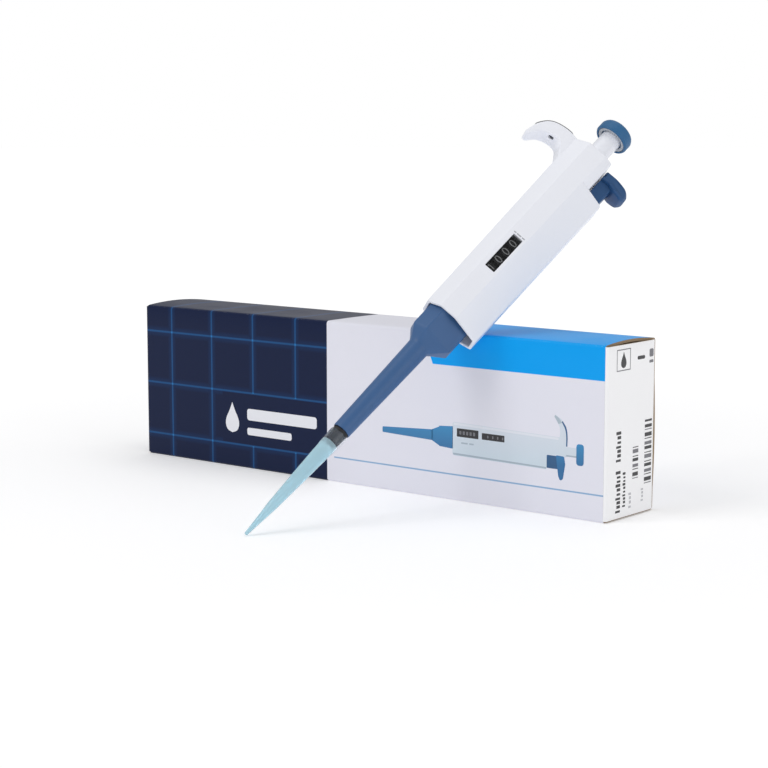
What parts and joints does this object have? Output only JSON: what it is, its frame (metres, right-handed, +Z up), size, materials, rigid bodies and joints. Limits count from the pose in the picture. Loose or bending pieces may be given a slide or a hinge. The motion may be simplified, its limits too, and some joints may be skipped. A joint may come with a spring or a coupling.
{
  "type": "pipette set",
  "caption": "Adjustable single-channel pipette with finger hook, volume counter, tip ejector and fitted tip, leaning on its printed carton with tuck-in ends.",
  "frame": {"origin": "on the floor, under the middle of the whole set's bounding box", "axes": "+X along the carton's length, +Y from the pipette's tip towards the carton's back, +Z up"},
  "size_m": [0.32, 0.2284, 0.1959],
  "materials": {
    "handle_white": "satin moulded ABS, cool white",
    "knob_blue": "satin moulded plastic, steel blue",
    "ejector_blue": "satin moulded plastic, dark blue",
    "sleeve_blue": "fine matt moulded plastic, slate blue",
    "pad_grey": "soft matt grey strip",
    "light_plastic": "plain light grey plastic",
    "window_clear": "clear polished window",
    "counter_black": "black drum with white printed figures",
    "nozzle_dark": "smooth near-black plastic",
    "seal_black": "black rubber",
    "seal_white": "white low friction seal",
    "steel": "turned stainless steel",
    "spring_steel": "drawn spring wire",
    "pinion_brass": "small brass pinions",
    "tip_clear": "clear light blue polypropylene",
    "carton_print": "printed paperboard, white with navy and cyan fields",
    "carton_board": "uncoated paperboard"
  },
  "bodies": {
    "carton": {"carton_front": "carton_print", "carton_back": "carton_print", "carton_top": "carton_print", "carton_bottom": "carton_print", "carton_glue_flap": "carton_board"},
    "pipette_handle": {"handle_shell": "handle_white", "hook_pad": "pad_grey", "window_lens": "window_clear", "top_bush": "handle_white", "counter_frame": "light_plastic", "spring_seat": "light_plastic", "pinion_shaft": "steel", "base_plate": "light_plastic", "coupling_nut": "light_plastic", "nozzle": "nozzle_dark", "nozzle_ring": "seal_black", "chamber_cap": "light_plastic"},
    "blowout_stop": {"stop_washer": "steel", "blowout_spring": "spring_steel"},
    "plunger": {"piston": "steel", "piston_seal": "seal_white", "piston_o_ring": "seal_black", "piston_rod": "steel", "rod_head": "steel", "plunger_spring": "spring_steel"},
    "volume_knob": {"knob_cap": "knob_blue", "knob_ring": "light_plastic", "stem": "handle_white", "lead_screw": "steel", "stop_nut": "light_plastic"},
    "counter_drive": {"drive_sleeve": "light_plastic", "number_ring_units": "counter_black"},
    "ejector": {"ejector_lever": "ejector_blue", "ejector_rod": "steel", "ejector_sleeve": "sleeve_blue", "ejector_spring": "spring_steel"},
    "pipette_tip": {"tip": "tip_clear"},
    "counter_thousands": {"number_ring_thousands": "counter_black"},
    "pinion_thousands": {"transfer_pinion_thousands": "pinion_brass"},
    "counter_hundreds": {"number_ring_hundreds": "counter_black"},
    "pinion_hundreds": {"transfer_pinion_hundreds": "pinion_brass"},
    "counter_tens": {"number_ring_tens": "counter_black"},
    "pinion_tens": {"transfer_pinion_tens": "pinion_brass"},
    "carton_right_closure": {"carton_right_end": "carton_print", "carton_right_tuck": "carton_board"},
    "carton_right_dust_flap_top": {"carton_right_dust_top": "carton_board"},
    "carton_right_dust_flap_bottom": {"carton_right_dust_bottom": "carton_board"},
    "carton_left_closure": {"carton_left_end": "carton_print", "carton_left_tuck": "carton_board"},
    "carton_left_dust_flap_top": {"carton_left_dust_top": "carton_board"},
    "carton_left_dust_flap_bottom": {"carton_left_dust_bottom": "carton_board"}
  },
  "joints": [
    {"name": "pipette_lift", "type": "slide", "parent": "carton", "child": "pipette_handle", "axis": [0, -0.6466, 0.7628], "range_m": [0, 0.12]},
    {"name": "blowout_press", "type": "slide", "parent": "pipette_handle", "child": "blowout_stop", "axis": [-0.215, -0.745, -0.6315], "range_m": [0, 0.003], "stiffness_N_per_m": 2500, "springref_m": -0.002, "deforming": ["blowout_spring"]},
    {"name": "plunger_press", "type": "slide", "parent": "blowout_stop", "child": "plunger", "axis": [-0.215, -0.745, -0.6315], "range_m": [0, 0.0125], "stiffness_N_per_m": 350, "springref_m": -0.01, "deforming": ["plunger_spring"]},
    {"name": "volume_turn", "type": "hinge", "parent": "plunger", "child": "volume_knob", "pos_m": [0.1043, 0.10374, 0.18512], "axis": [0.215, 0.745, 0.6315], "range_deg": [-6480, 0]},
    {"name": "counter_units_turn", "type": "hinge", "parent": "pipette_handle", "child": "counter_drive", "pos_m": [0.08095, 0.02284, 0.11654], "axis": [0.215, 0.745, 0.6315], "range_deg": [-6481, 1]},
    {"name": "ejector_press", "type": "slide", "parent": "pipette_handle", "child": "ejector", "axis": [-0.215, -0.745, -0.6315], "range_m": [0, 0.0095], "stiffness_N_per_m": 250, "springref_m": -0.008, "deforming": ["ejector_spring"]},
    {"name": "tip_release", "type": "slide", "parent": "pipette_handle", "child": "pipette_tip", "axis": [-0.215, -0.745, -0.6315], "range_m": [0, 0.0096]},
    {"name": "counter_thousands_turn", "type": "hinge", "parent": "pipette_handle", "child": "counter_thousands", "pos_m": [0.08095, 0.02284, 0.11654], "axis": [0.215, 0.745, 0.6315], "range_deg": [-33.4, 1]},
    {"name": "pinion_thousands_turn", "type": "hinge", "parent": "pipette_handle", "child": "pinion_thousands", "pos_m": [0.09176, 0.02386, 0.11166], "axis": [0.215, 0.745, 0.6315], "range_deg": [-1, 130.6]},
    {"name": "counter_hundreds_turn", "type": "hinge", "parent": "pipette_handle", "child": "counter_hundreds", "pos_m": [0.08095, 0.02284, 0.11654], "axis": [0.215, 0.745, 0.6315], "range_deg": [-325, 1]},
    {"name": "pinion_hundreds_turn", "type": "hinge", "parent": "pipette_handle", "child": "pinion_hundreds", "pos_m": [0.09176, 0.02386, 0.11166], "axis": [0.215, 0.745, 0.6315], "range_deg": [-1, 1297]},
    {"name": "counter_tens_turn", "type": "hinge", "parent": "pipette_handle", "child": "counter_tens", "pos_m": [0.08095, 0.02284, 0.11654], "axis": [0.215, 0.745, 0.6315], "range_deg": [-3241, 1]},
    {"name": "pinion_tens_turn", "type": "hinge", "parent": "pipette_handle", "child": "pinion_tens", "pos_m": [0.09176, 0.02386, 0.11166], "axis": [0.215, 0.745, 0.6315], "range_deg": [-1, 12961]},
    {"name": "carton_right_open", "type": "hinge", "parent": "carton", "child": "carton_right_closure", "pos_m": [0.16, 0.01755, 0.044], "axis": [0, 0, -1], "range_deg": [0, 115]},
    {"name": "carton_right_dust_top_fold", "type": "hinge", "parent": "carton", "child": "carton_right_dust_flap_top", "pos_m": [0.1567, 0.04055, 0.0862], "axis": [0, 1, 0], "range_deg": [0, 85]},
    {"name": "carton_right_dust_bottom_fold", "type": "hinge", "parent": "carton", "child": "carton_right_dust_flap_bottom", "pos_m": [0.1567, 0.04055, 0.0018], "axis": [0, -1, 0], "range_deg": [0, 85]},
    {"name": "carton_left_open", "type": "hinge", "parent": "carton", "child": "carton_left_closure", "pos_m": [-0.16, 0.01755, 0.044], "axis": [0, 0, 1], "range_deg": [0, 115]},
    {"name": "carton_left_dust_top_fold", "type": "hinge", "parent": "carton", "child": "carton_left_dust_flap_top", "pos_m": [-0.1567, 0.04055, 0.0862], "axis": [0, -1, 0], "range_deg": [0, 85]},
    {"name": "carton_left_dust_bottom_fold", "type": "hinge", "parent": "carton", "child": "carton_left_dust_flap_bottom", "pos_m": [-0.1567, 0.04055, 0.0018], "axis": [0, 1, 0], "range_deg": [0, 85]}
  ],
  "couplings": [
    {"joint": "counter_units_turn", "follows": "volume_turn", "ratio": 1},
    {"joint": "tip_release", "follows": "ejector_press", "ratio": 1},
    {"joint": "counter_thousands_turn", "follows": "volume_turn", "ratio": 0.005},
    {"joint": "pinion_thousands_turn", "follows": "volume_turn", "ratio": -0.02},
    {"joint": "counter_hundreds_turn", "follows": "volume_turn", "ratio": 0.05},
    {"joint": "pinion_hundreds_turn", "follows": "volume_turn", "ratio": -0.2},
    {"joint": "counter_tens_turn", "follows": "volume_turn", "ratio": 0.5},
    {"joint": "pinion_tens_turn", "follows": "volume_turn", "ratio": -2}
  ]
}
